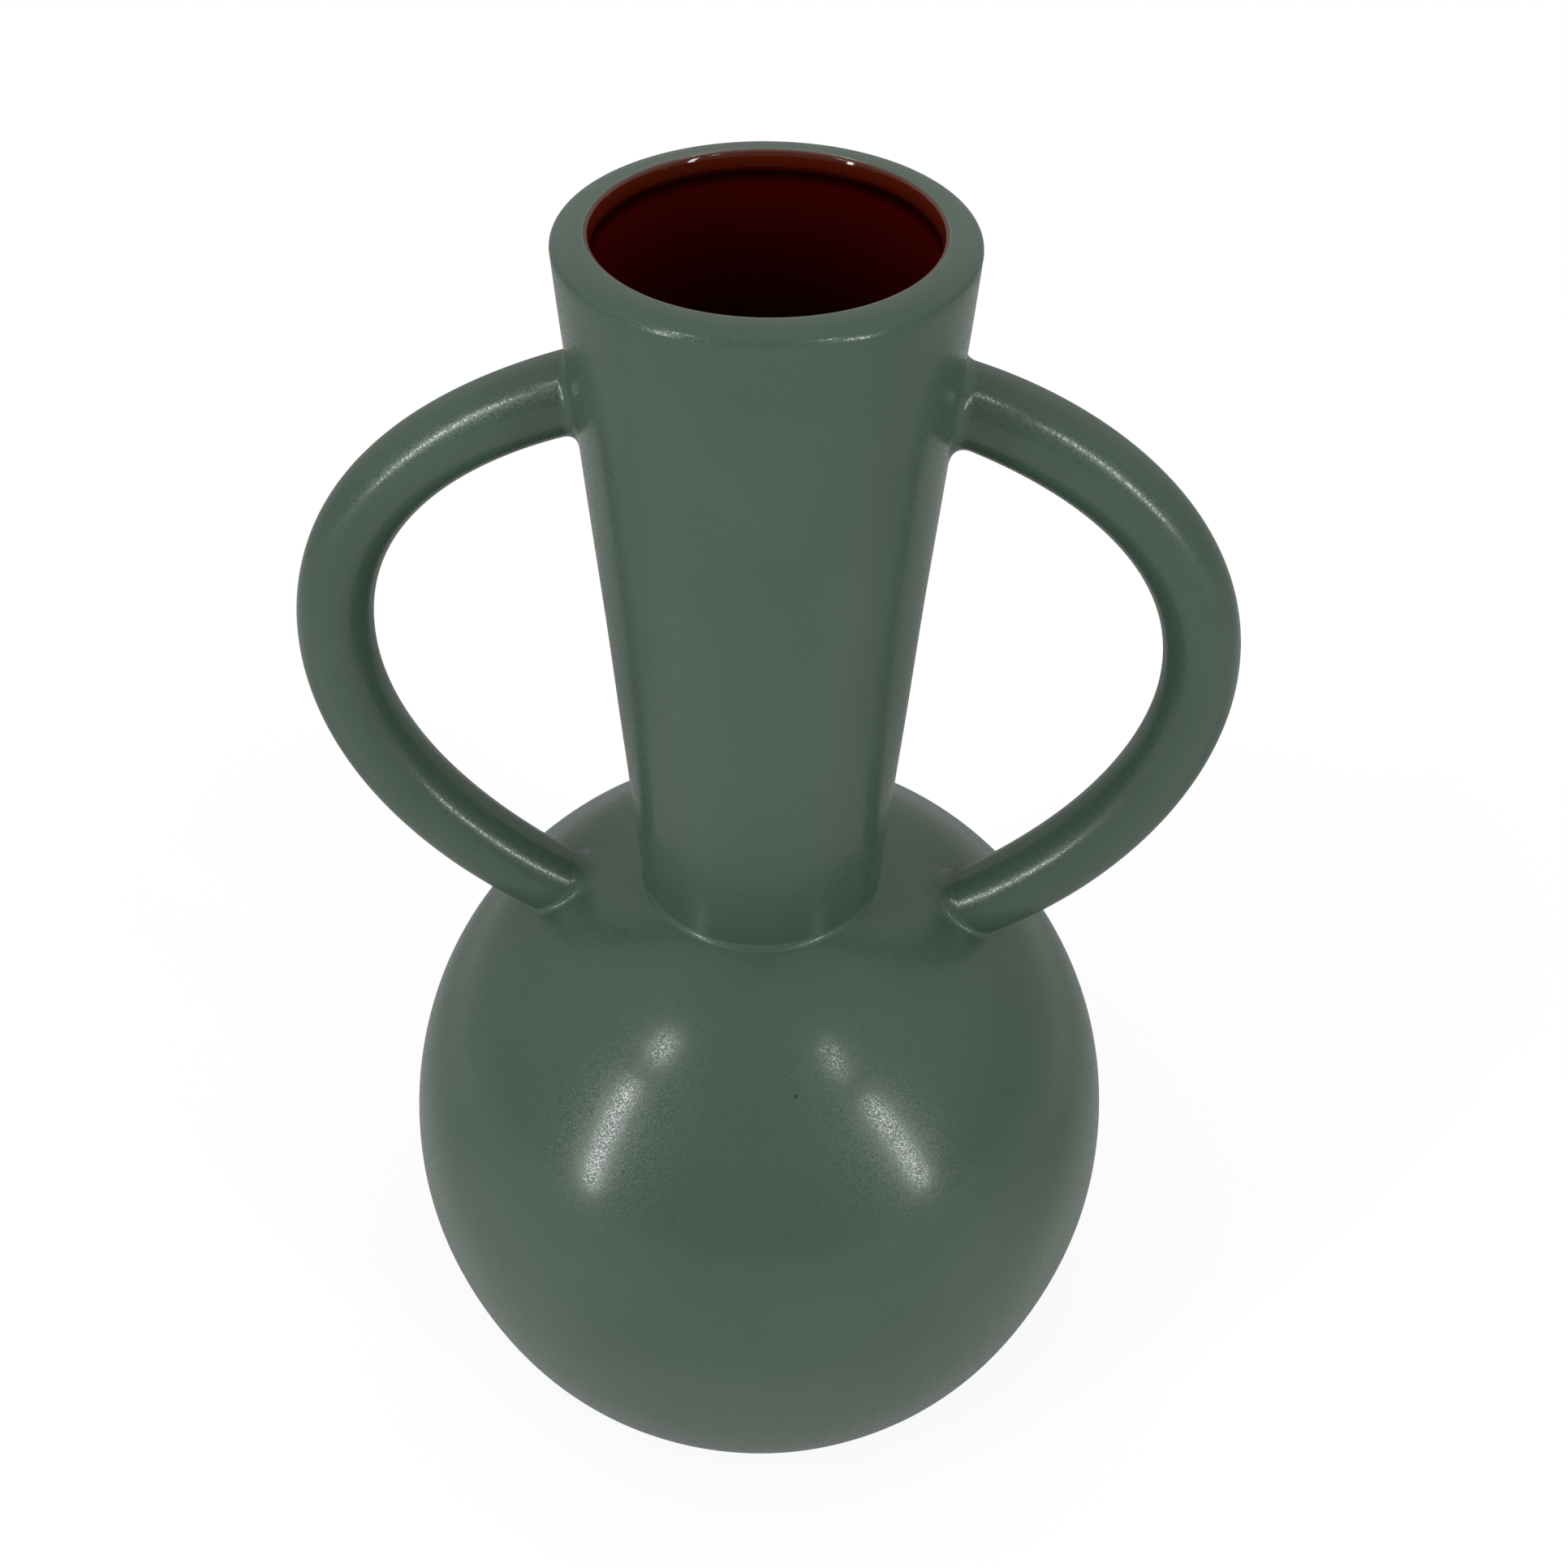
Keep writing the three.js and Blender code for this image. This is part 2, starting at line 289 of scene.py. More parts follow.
def neck_shell():
    """The neck's tube: crisp where the rim meets the mouth, rounded outside."""
    shoulder = RIM_TOP - RIM_DOWN
    foot = NECK_BASE - NECK_SUNK
    outline = [(neck_radius_at(z), z) for z in np.linspace(foot, shoulder, NECK_STEPS + 1)[:-1]]
    centre = neck_radius_at(shoulder) - RIM_ACROSS
    for angle in np.linspace(0, math.pi / 2, RIM_STEPS + 1):
        outline.append((centre + RIM_ACROSS * math.cos(angle), shoulder + RIM_DOWN * math.sin(angle)))
    inner = MOUTH_RADIUS + RIM_INNER_ROUNDING
    outline += arc(inner, RIM_TOP - RIM_INNER_ROUNDING, RIM_INNER_ROUNDING, 90, 180)
    outline += [(NECK_BASE_RADIUS - NECK_WALL, foot)]
    return turned("neck_shell", outline, closed=True)


def glaze_lining():
    """The inner coat: a bead under the rim, then one skin down the neck and over the globe's floor."""
    top = RIM_TOP - GLAZE_DROP

    def bore_at(height, inset):
        return neck_radius_at(height) - NECK_WALL - inset

    back = [(bore_at(z, 0.0), z) for z in (top, NECK_BASE)] + globe_hollow(0.0)
    bead = []
    for curve in BEAD_CURVES:
        for inset, depth in bezier(curve, BEAD_STEPS):
            height = top - depth * MM
            bead.append((bore_at(height, inset * MM), height))
    heights = np.linspace(top - BEAD_HEIGHT, NECK_BASE, WALL_STEPS + 1)[1:]
    wall = [(bore_at(z, GLAZE_THICKNESS), z) for z in heights]
    outline = back[::-1] + bead + wall + globe_hollow(GLAZE_THICKNESS)
    return turned("glaze_lining", outline)


def foot_shell():
    """The standing ring, its edges worn round."""
    inner = FOOT_RADIUS - FOOT_WIDTH
    outline = [(inner, FOOT_TOP)]
    outline += arc(inner + FOOT_CHAMFER, FOOT_CHAMFER, FOOT_CHAMFER, 180, 270)
    outline += arc(FOOT_RADIUS - FOOT_CHAMFER, FOOT_CHAMFER, FOOT_CHAMFER, 270, 360)
    outline += [(FOOT_RADIUS, FOOT_TOP)]
    return turned("foot_shell", outline, closed=True)


def neck_fillet():
    """The slip wiped into the corner between the neck and the globe."""
    corner = (NECK_BASE_RADIUS, NECK_BASE)
    edge = NECK_BASE_RADIUS + NECK_FILLET
    top = NECK_BASE + NECK_FILLET
    face = eased([(edge, globe_top_at(edge)), corner, (neck_radius_at(top), top)])
    sunk = [(edge, globe_top_at(edge) - SEAT), (corner[0] - SEAT, corner[1] - SEAT)]
    sunk += [(neck_radius_at(top) - SEAT, top)]
    outline = [tuple(p) for p in face] + sunk[::-1]
    return turned("neck_fillet", outline, closed=True)


def handle_centreline(strays, drops, latitude, slopes, leans):
    """The points of a handle's centreline on the +X side, straight where it runs into the clay."""
    upper_z = RIM_TOP - drops[0] * MM
    upper = np.array((neck_radius_at(upper_z), 0, upper_z))
    upper_slope, lower_slope = (math.radians(slope) for slope in slopes)
    upper_out = np.array((math.cos(upper_slope), 0, -math.sin(upper_slope)))
    apex = np.array((HANDLE_REACH + strays * MM, 0, RIM_TOP - drops[1] * MM))
    up = np.array((0, 0, 1))
    lower_z = GLOBE_CENTRE + GLOBE_HALF_HEIGHT * math.sin(math.radians(latitude))
    lower = np.array((globe_radius_at(lower_z), 0, lower_z))
    lower_out = np.array((math.cos(lower_slope), 0, math.sin(lower_slope)))
    root_lean, rise, fall, end_lean = (lean * MM for lean in leans)
    first = [upper, upper + upper_out * root_lean, apex + up * rise, apex]
    second = [apex, apex - up * fall, lower + lower_out * end_lean, lower]
    points = [upper - upper_out * HANDLE_RADIUS]
    points += bezier(first, CENTRELINE_STEPS) + bezier(second, CENTRELINE_STEPS)[1:]
    points += [lower - lower_out * HANDLE_RADIUS]
    return np.array(points)


class Handle:
    """One handle, shaped on the +X side and mirrored to its own side."""

    def __init__(self, hand, side, radii, *path):
        self.hand = hand
        self.side = side
        self.line = handle_centreline(*path)
        steps = np.linalg.norm(np.diff(self.line, axis=0), axis=1)
        self.lengths = np.concatenate([[0], np.cumsum(steps)])
        self.length = self.lengths[-1]
        places = np.linspace(0, 1, len(radii))
        self.radius_curve = np.polyfit(places, np.array(radii) * MM, len(radii) - 1)

    def centre_at(self, length):
        return np.array([np.interp(length, self.lengths, self.line[:, i]) for i in range(3)])

    def radius_at(self, length):
        """The bar is slimmest at its apex and fullest low down, where it was pressed onto the globe."""
        share = (length - HANDLE_RADIUS) / (self.length - 2 * HANDLE_RADIUS)
        return np.polyval(self.radius_curve, clamped(share))

    def point(self, length, angle, offset=0.0):
        """A point on the bar's face, and the way out to it. Angle 0 is on the inside of the loop."""
        step = 0.5 * MM
        side = np.array((0.0, 1.0, 0.0))
        tangent = self.centre_at(length + step) - self.centre_at(length - step)
        inward = np.cross(side, tangent / np.linalg.norm(tangent))
        outward = inward * math.cos(angle) + side * math.sin(angle)
        return self.centre_at(length) + outward * (self.radius_at(length) + offset), outward

    def root_length(self, upper, angle):
        """How far along the bar a line on its face comes out of the clay."""
        inside, outside = (0.0 if upper else self.length), self.length / 2
        face_radius_at = neck_radius_at if upper else globe_radius_at
        for _ in range(ROOT_HALVINGS):
            middle = (inside + outside) / 2
            point, _ = self.point(middle, angle)
            if math.hypot(point[0], point[1]) < face_radius_at(point[2]):
                inside = middle
            else:
                outside = middle
        return outside

    def made(self, name, points, faces):
        """A mesh of the handle's, mirrored to its own side."""
        if self.side < 0:
            points = [(-p[0], p[1], p[2]) for p in points]
            faces = [face[::-1] for face in faces]
        return clay_mesh(f"handle_{self.hand}_{name}", strayed(points), faces)

    def bar(self):
        """The bar from saddle to saddle: its rings turn smoothly from one root's outline to the other's."""
        angles = np.arange(BAR_SIDES) * 2 * math.pi / BAR_SIDES
        starts = [self.root_length(True, a) - BAR_SUNK for a in angles]
        ends = [self.root_length(False, a) + BAR_SUNK for a in angles]
        points = []
        for share in np.linspace(0, 1, BAR_STEPS + 1):
            for a, start, end in zip(angles, starts, ends):
                points.append(self.point(start + (end - start) * share, a)[0])
        faces = []
        for i in range(BAR_STEPS):
            for j in range(BAR_SIDES):
                k = (j + 1) % BAR_SIDES
                low, high = i * BAR_SIDES, (i + 1) * BAR_SIDES
                faces.append([low + j, high + j, high + k, low + k])
        faces.append(list(range(BAR_SIDES)))
        faces.append(list(range(BAR_STEPS * BAR_SIDES, (BAR_STEPS + 1) * BAR_SIDES))[::-1])
        return self.made("bar", points, faces)

    def fillet_size(self, angle, upper):
        """A wiped fillet is fuller inside the loop, and never quite even."""
        inner, flank, outer = UPPER_FILLETS[self.hand] if upper else LOWER_FILLET
        facing = math.cos(angle)
        place = Vector((facing, math.sin(angle), UPPER_RIPPLE_PLACE if upper else LOWER_RIPPLE_PLACE))
        ripple = noise.noise(place * RIPPLE_SCALE)
        return flank + ((inner if facing > 0 else outer) - flank) * facing ** 2 + FILLET_RIPPLE * ripple

    def fillet_section(self, upper, angle):
        """One cut through a root's fillet: its hollow face from the clay onto the bar, then its sunk back."""
        face_radius_at = neck_radius_at if upper else globe_radius_at
        size = self.fillet_size(angle, upper)
        root = self.root_length(upper, angle)
        away = root + (size if upper else -size)
        corner, outward = self.point(root, angle)
        on_bar = self.point(away, angle)[0]
        sunk_bar = self.point(away, angle, -SEAT)[0]
        normal = face_normal(corner, face_radius_at)
        slide = outward - normal * outward.dot(normal)
        on_clay = corner + slide / np.linalg.norm(slide) * size
        on_clay[:2] *= face_radius_at(on_clay[2]) / math.hypot(on_clay[0], on_clay[1])
        sunk_clay = on_clay - face_normal(on_clay, face_radius_at) * SEAT
        inner = corner - (normal + outward) * SEAT
        return eased([on_clay, corner, on_bar]) + [sunk_bar, inner, sunk_clay]

    def fillet(self, upper):
        """The slip wiped round one root."""
        angles = np.arange(BAR_SIDES) * 2 * math.pi / BAR_SIDES
        sections = [self.fillet_section(upper, a) for a in angles]
        size = len(sections[0])
        faces = []
        for i in range(BAR_SIDES):
            for j in range(size):
                a, b = i * size, (i + 1) % BAR_SIDES * size
                k = (j + 1) % size
                faces.append([a + j, b + j, b + k, a + k])
        if not upper:
            faces = [face[::-1] for face in faces]
        points = [p for section in sections for p in section]
        return self.made("upper_fillet" if upper else "lower_fillet", points, faces)


def face_normal(point, face_radius_at):
    """The direction square to a face of revolution at a point on it."""
    step = 0.01 * MM
    slope = (face_radius_at(point[2] + step) - face_radius_at(point[2] - step)) / (2 * step)
    radius = math.hypot(point[0], point[1])
    normal = np.array((point[0] / radius, point[1] / radius, -slope))
    return normal / np.linalg.norm(normal)


def map_range(tree, value, from_low, from_high, to_low, to_high):
    """A value carried from one range over to another, and held at that range's ends."""
    node = tree.nodes.new("ShaderNodeMapRange")
    tree.links.new(value, node.inputs["Value"])
    node.inputs["From Min"].default_value = from_low
    node.inputs["From Max"].default_value = from_high
    node.inputs["To Min"].default_value = to_low
    node.inputs["To Max"].default_value = to_high
    return node.outputs["Result"]


# Where a mix node keeps its share, its two colours and its result
MIX_SHARE, MIX_FIRST, MIX_SECOND, MIX_RESULT = 0, 6, 7, 2
# A row of four numbers, here and below: from a value, to a value, the result at the first and at the second
BLOTCHES = (0.35, 0.65, 0.0, 1.0)


class Nodes:
    """Short calls for building one material's nodes."""

    def __init__(self, name):
        self.material = bpy.data.materials.new(name)
        self.material.use_nodes = True
        self.tree = self.material.node_tree
        self.shader = self.tree.nodes["Principled BSDF"]
        self.place = self.add("ShaderNodeTexCoord").outputs["Object"]

    def add(self, kind, **settings):
        node = self.tree.nodes.new(kind)
        for key, value in settings.items():
            setattr(node, key, value)
        return node

    def link(self, start, end):
        self.tree.links.new(start, end)

    def noise(self, scale, detail, roughness=0.5):
        node = self.add("ShaderNodeTexNoise")
        self.link(self.place, node.inputs["Vector"])
        node.inputs["Scale"].default_value = scale
        node.inputs["Detail"].default_value = detail
        node.inputs["Roughness"].default_value = roughness
        return node.outputs["Fac"]

    def spread(self, value, from_low, from_high, to_low, to_high):
        return map_range(self.tree, value, from_low, from_high, to_low, to_high)

    def blotches(self, scale, detail, first, second):
        """Two colours in soft blotches."""
        return self.mix(self.spread(self.noise(scale, detail), *BLOTCHES), first, second)

    def mix(self, share, first, second):
        """A colour between two, each a plain colour or a socket."""
        node = self.add("ShaderNodeMix", data_type="RGBA")
        self.link(share, node.inputs[MIX_SHARE])
        for place, value in ((MIX_FIRST, first), (MIX_SECOND, second)):
            if isinstance(value, tuple):
                node.inputs[place].default_value = (*value, 1.0)
            else:
                self.link(value, node.inputs[place])
        return node.outputs[MIX_RESULT]

    def bump(self, height, distance, under=None):
        node = self.add("ShaderNodeBump")
        self.link(height, node.inputs["Height"])
        node.inputs["Distance"].default_value = distance
        if under is not None:
            self.link(under, node.inputs["Normal"])
        return node.outputs["Normal"]

    def set(self, **values):
        for key, value in values.items():
            self.shader.inputs[key.replace("_", " ")].default_value = value


def linear(red, green, blue):
    """A colour written as it shows on a screen, 0 to 255, turned by the sRGB curve into a shader's."""
    def one(value):
        share = value / 255
        return share / 12.92 if share <= 0.04045 else ((share + 0.055) / 1.055) ** 2.4

    return (one(red), one(green), one(blue))


GLAZE_IOR = 1.5
# Green glaze: its two blotched tones and its grain's tone, a pin mark, and the glaze where it breaks thin.
# Blotches, grain and waves are noises, each with a scale and a detail
GREEN_TONES = ((59, 80, 66), (65, 86, 71), (71, 90, 78))
GREEN_PIN = (34, 46, 38)
GREEN_THIN = (100, 98, 89)
GREEN_BLOTCHES = (24, 3)
GREEN_GRAIN = (2600, 2, 0.6)
GRAIN_TO_TONE = (0.35, 0.7, 0.0, 0.3)
GRAIN_TO_ROUGHNESS = (0.42, 0.58, 0.13, 0.36)
GRAIN_DEPTH = 0.012 * MM
GREEN_WAVES = (120, 2)
GREEN_WAVE_DEPTH = 0.02 * MM
PIN_SCALE = 28
PIN_BY_DISTANCE = (0.012, 0.02, 1.0, 0.0)
THIN_OUT = (0.25 * MM, 0.75 * MM)
THIN_DOWN = (0.6 * MM, 0.3 * MM)


def green_glaze(name, depth):
    """Satin green glaze: softly mottled, with a fine pebbled grain, rare dark pin marks, and a pale line
    where it breaks thin on the crisp inner edge of the rim. A depth below 1 makes it deeper in colour."""
    n = Nodes(name)
    first, second, grainy = (linear(*(level * depth for level in tone)) for tone in GREEN_TONES)
    grain = n.noise(*GREEN_GRAIN)
    colour = n.blotches(*GREEN_BLOTCHES, first, second)
    colour = n.mix(n.spread(grain, *GRAIN_TO_TONE), colour, grainy)
    pins = n.add("ShaderNodeTexVoronoi")
    n.link(n.place, pins.inputs["Vector"])
    pins.inputs["Scale"].default_value = PIN_SCALE
    pin = n.spread(pins.outputs["Distance"], *PIN_BY_DISTANCE)
    colour = n.mix(pin, colour, linear(*GREEN_PIN))
    colour = n.mix(rim_edge(n), colour, linear(*GREEN_THIN))
    n.link(colour, n.shader.inputs["Base Color"])
    n.link(n.spread(grain, *GRAIN_TO_ROUGHNESS), n.shader.inputs["Roughness"])
    n.set(IOR=GLAZE_IOR)
    peel = n.bump(grain, GRAIN_DEPTH)
    waves = n.bump(n.noise(*GREEN_WAVES), GREEN_WAVE_DEPTH, under=peel)
    n.link(waves, n.shader.inputs["Normal"])
    return n.material


def rim_edge(n):
    """1 on the crisp edge round the mouth, 0 a little way out from it or down."""
    parts = n.add("ShaderNodeSeparateXYZ")
    n.link(n.place, parts.inputs[0])
    flat = n.add("ShaderNodeCombineXYZ")
    n.link(parts.outputs["X"], flat.inputs["X"])
    n.link(parts.outputs["Y"], flat.inputs["Y"])
    radius = n.add("ShaderNodeVectorMath", operation="LENGTH")
    n.link(flat.outputs[0], radius.inputs[0])
    full, gone = (MOUTH_RADIUS + out for out in THIN_OUT)
    near = n.spread(radius.outputs["Value"], full, gone, 1.0, 0.0)
    low, high = (RIM_TOP - down for down in THIN_DOWN)
    above = n.spread(parts.outputs["Z"], low, high, 0.0, 1.0)
    both = n.add("ShaderNodeMath", operation="MULTIPLY")
    n.link(near, both.inputs[0])
    n.link(above, both.inputs[1])
    return both.outputs[0]


# Red glaze: its blotched tones, then the tones it turns to by height, from the bead's lower end: painted
# light, lighter up the neck towards the mouth, painted shade, darker deep in the neck, and a painted line of
# shade just
# under the bead. Each row: from this height, to that height in millimetres, the share before and after, and
# the tone
RED_TONES = ((48, 3, 3), (55, 5, 4))
RED_PAINTED_SHADING = (
    (-45, 0, 0.0, 0.7, (66, 6, 4)),
    (-28, -6, 1.0, 0.0, (36, 2, 2)),
    (-2.8, -0.9, 0.0, 0.9, (20, 2, 2)),
)
# The bead's browns, where they begin, and where the lighter one takes over towards the rim: a painted
# reflection over the brown glaze
BROWN_TONES = ((66, 12, 4), (76, 24, 8))
BROWN_BEGINS = (-0.5, 0.2, 0.0, 1.0)
BROWN_PAINTED_REFLECTION = (0, 2.2, 0.0, 1.0)
RED_BLOTCHES = (45, 2)
RED_ROUGHNESS = 0.06
RED_WAVES = (140, 2)
RED_WAVE_DEPTH = 0.03 * MM


def red_glaze():
    """Glossy dark red glaze: brown on the bead under the rim, a painted line of shade just under the bead,
    then deep red, with painted light towards the mouth and painted shade deeper down.
    """
    n = Nodes("glossy_red_glaze")
    parts = n.add("ShaderNodeSeparateXYZ")
    n.link(n.place, parts.inputs[0])
    height = parts.outputs["Z"]
    bead_end = RIM_TOP - GLAZE_DROP - BEAD_HEIGHT

    def by_height(low, high, before, after):
        return n.spread(height, bead_end + low * MM, bead_end + high * MM, before, after)

    low_tone, high_tone = (linear(*tone) for tone in RED_TONES)
    colour = n.blotches(*RED_BLOTCHES, low_tone, high_tone)
    # Painted light towards the mouth, painted shade deeper down the neck, and a painted line of shade under
    # the bead
    for low, high, before, after, tone in RED_PAINTED_SHADING:
        colour = n.mix(by_height(low, high, before, after), colour, linear(*tone))
    low_tone, high_tone = (linear(*tone) for tone in BROWN_TONES)
    # The brown lightens towards the rim as a painted reflection
    brown = n.mix(by_height(*BROWN_PAINTED_REFLECTION), low_tone, high_tone)
    colour = n.mix(by_height(*BROWN_BEGINS), colour, brown)
    n.link(colour, n.shader.inputs["Base Color"])
    n.set(Roughness=RED_ROUGHNESS, IOR=GLAZE_IOR)
    n.link(n.bump(n.noise(*RED_WAVES), RED_WAVE_DEPTH), n.shader.inputs["Normal"])
    return n.material


# Bare clay: its two blotched tones, and the tone of its grit
CLAY_TONES = ((196, 178, 150), (212, 196, 170))
GRIT_TONE = (120, 98, 76)
CLAY_BLOTCHES = (90, 3)
CLAY_GRIT = (1500, 3, 0.7)
GRIT_TO_TONE = (0.62, 0.72, 0.0, 0.6)
GRIT_DEPTH = 0.12 * MM
CLAY_ROUGHNESS = 0.92


def bare_clay():
    """Unglazed buff stoneware, gritty, in soft blotches."""
    n = Nodes("bare_clay")
    grit = n.noise(*CLAY_GRIT)
    low_tone, high_tone = (linear(*tone) for tone in CLAY_TONES)
    colour = n.blotches(*CLAY_BLOTCHES, low_tone, high_tone)
    colour = n.mix(n.spread(grit, *GRIT_TO_TONE), colour, linear(*GRIT_TONE))
    n.link(colour, n.shader.inputs["Base Color"])
    n.set(Roughness=CLAY_ROUGHNESS)
    n.link(n.bump(grit, GRIT_DEPTH), n.shader.inputs["Normal"])
    return n.material


def finish_piece(piece, material, slot, *nodes):
    piece.data.materials.append(material)
    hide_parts(*nodes)
    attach(piece, "root")


# Camera, as it stood over the vase
LENS = 45.17
SENSOR = 36.0
CAMERA_PLACE = Vector((18.5, -302.9, 450.7)) * MM
CAMERA_TARGET = Vector((4.50, 0.27, 175.46)) * MM
CAMERA_ROLL = math.radians(1.0255)
CLIP_START = 0.01


def add_camera():
    data = bpy.data.cameras.new("camera")
    data.lens = LENS
    data.sensor_width = SENSOR
    data.clip_start = CLIP_START
    camera = bpy.data.objects.new("camera", data)
    forward = (CAMERA_TARGET - CAMERA_PLACE).normalized()
    right = forward.cross(Vector((0, 0, 1))).normalized()
    up = right.cross(forward)
    turned_right = right * math.cos(CAMERA_ROLL) + up * math.sin(CAMERA_ROLL)
    turned_up = up * math.cos(CAMERA_ROLL) - right * math.sin(CAMERA_ROLL)
    axes = Matrix((turned_right, turned_up, -forward)).transposed()
    camera.matrix_world = Matrix.Translation(CAMERA_PLACE) @ axes.to_4x4()
    bpy.context.scene.collection.objects.link(camera)
    bpy.context.scene.camera = camera


# Lights: a tall soft box on each side and a small one above it. Each row: azimuth and elevation, how tall and
# how wide it is as seen from the vase, all in degrees, its radiance, and its tilt in degrees
LAMP_DISTANCE = 1.4
LAMP_AIM = Vector((0, -0.05, 0.13))
WATTS_PER_RADIANCE = 4
LAMPS = {
    "left_low": (-50.5, 19.4, 35, 4.4, 16.5, 5),
    "left_high": (-52, 50, 9, 6.0, 10.5, 0),
    "right_low": (52, 20.0, 33, 4.4, 13.2, 10),
    "right_high": (45, 52, 10.5, 3.8, 9.0, 0),
}


def add_lamp(name, azimuth, elevation, tall, wide, radiance, tilt):
    """A soft box seen from the vase at these angles. Azimuth is from the front, towards +X, and a tilt swings
    the box's top to a lower azimuth."""
    a, e = math.radians(azimuth), math.radians(elevation)
    way = Vector((math.sin(a) * math.cos(e), -math.cos(a) * math.cos(e), math.sin(e)))
    data = bpy.data.lights.new(name, "AREA")
    data.shape = "RECTANGLE"
    data.size = 2 * LAMP_DISTANCE * math.tan(math.radians(wide / 2))
    data.size_y = 2 * LAMP_DISTANCE * math.tan(math.radians(tall / 2))
    data.energy = radiance * WATTS_PER_RADIANCE * data.size * data.size_y
    lamp = bpy.data.objects.new(name, data)
    lamp.location = LAMP_AIM + way * LAMP_DISTANCE
    upright = way.to_track_quat("Z", "Y")
    lamp.rotation_euler = (upright @ Quaternion((0, 0, 1), math.radians(tilt))).to_euler()
    bpy.context.scene.collection.objects.link(lamp)


# The room's level straight ahead and at the sides, for the rays that light the vase
AMBIENT = (0.55, 0.88)
# The room as the glaze mirrors it: straight ahead, and elsewhere from the horizon up, with more behind the
# vase
AHEAD_MIRRORED = 0.28
AHEAD_TO_ELSEWHERE = (-0.6, -0.05, 0, 1)
ROOM_BY_RISE = (0, 0.5, 0.29, 0.63)
BEHIND_ADDED = (0.3, 0.7, 0, 0.08)

# The floor's colour by distance from the vase's axis: for the rays that light, for mirrored rays as the
# darker of two, and to the camera. Darker close to the vase is a painted shadow, and darker further off in a
# reflection is painted shade
FLOOR_SIZE = 4.0
LIT_BASE_PAINTED_SHADOW = (0.07, 0.22, 0.25, 0.62)
MIRRORED_PAINTED_SHADOW_NEAR = (0.09, 0.13, 0.52, 0.6)
MIRRORED_PAINTED_SHADE_FAR = (0.14, 0.24, 0.6, 0.38)
SEEN_BASE = 0.62
# How far the floor is plain white instead, and how white: to the camera by distance, so that the shadow stays
SEEN_WHITE = (0.25, 0.7, 0.7, 1.0)
SEEN_LEVEL = (0.25, 0.7, 1.22, 1.0)
# The same in a reflection: from far off on, and close by in front of the vase, where it is a painted pool of
# light. Then the reflection's level: brighter in front as painted light, darker far off behind as painted
# shade
FAR_WHITE = (0.3, 0.7, 0.0, 1.0)
NEAR_WHITE = (0.09, 0.13, 0.0, 0.4)
NEAR_IN_FRONT = (0.0, -0.12, 0.0, 1.0)
NEAR_TO_FAR = (0.3, 0.6, 0.0, 1.0)
NEAR_PAINTED_LIGHT_LEVEL = (0.14, 0.25, 0.75, 1.25)
FAR_LEVEL_PAINTED_SHADE_BEHIND = (-0.5, 0.2, 0.65, 0.36)


def mixed(tree, share, first, second):
    """A number between two values, each a plain number or a socket."""
    node = tree.nodes.new("ShaderNodeMix")
    tree.links.new(share, node.inputs["Factor"])
    for socket, value in ((node.inputs["A"], first), (node.inputs["B"], second)):
        if isinstance(value, (int, float)):
            socket.default_value = value
        else:
            tree.links.new(value, socket)
    return node.outputs["Result"]


def by_ray(tree, lighting, mirrored, seen):
    """One value for the rays that light things, one for mirrored rays, one for camera and refracted rays."""
    path = tree.nodes.new("ShaderNodeLightPath")
    direct = tree.nodes.new("ShaderNodeMath")
    direct.operation = "MAXIMUM"
    tree.links.new(path.outputs["Is Camera Ray"], direct.inputs[0])
    tree.links.new(path.outputs["Is Transmission Ray"], direct.inputs[1])
    indirect = mixed(tree, path.outputs["Is Glossy Ray"], lighting, mirrored)
    return mixed(tree, direct.outputs[0], indirect, seen)


def joined(tree, operation, first, second):
    """The result of one operation on two sockets."""
    node = tree.nodes.new("ShaderNodeMath")
    node.operation = operation
    tree.links.new(first, node.inputs[0])
    tree.links.new(second, node.inputs[1])
    return node.outputs[0]


def add_world():
    """A white backdrop to the camera, and a dimmer room in the glaze, brighter at its sides and behind."""
    world = bpy.data.worlds.new("studio")
    world.use_nodes = True
    bpy.context.scene.world = world
    tree = world.node_tree
    way = tree.nodes.new("ShaderNodeSeparateXYZ")
    tree.links.new(tree.nodes.new("ShaderNodeTexCoord").outputs["Generated"], way.inputs[0])
    sideways = joined(tree, "MULTIPLY", way.outputs["X"], way.outputs["X"])
    lighting = map_range(tree, sideways, 0, 1, *AMBIENT)
    elsewhere = map_range(tree, way.outputs["Y"], *AHEAD_TO_ELSEWHERE)
    room = map_range(tree, way.outputs["Z"], *ROOM_BY_RISE)
    behind = map_range(tree, way.outputs["Y"], *BEHIND_ADDED)
    mirrored = mixed(tree, elsewhere, AHEAD_MIRRORED, joined(tree, "ADD", room, behind))
    ground = tree.nodes["Background"]
    tree.links.new(by_ray(tree, lighting, mirrored, 1.0), ground.inputs["Strength"])
    ground.inputs["Color"].default_value = (1, 1, 1, 1)


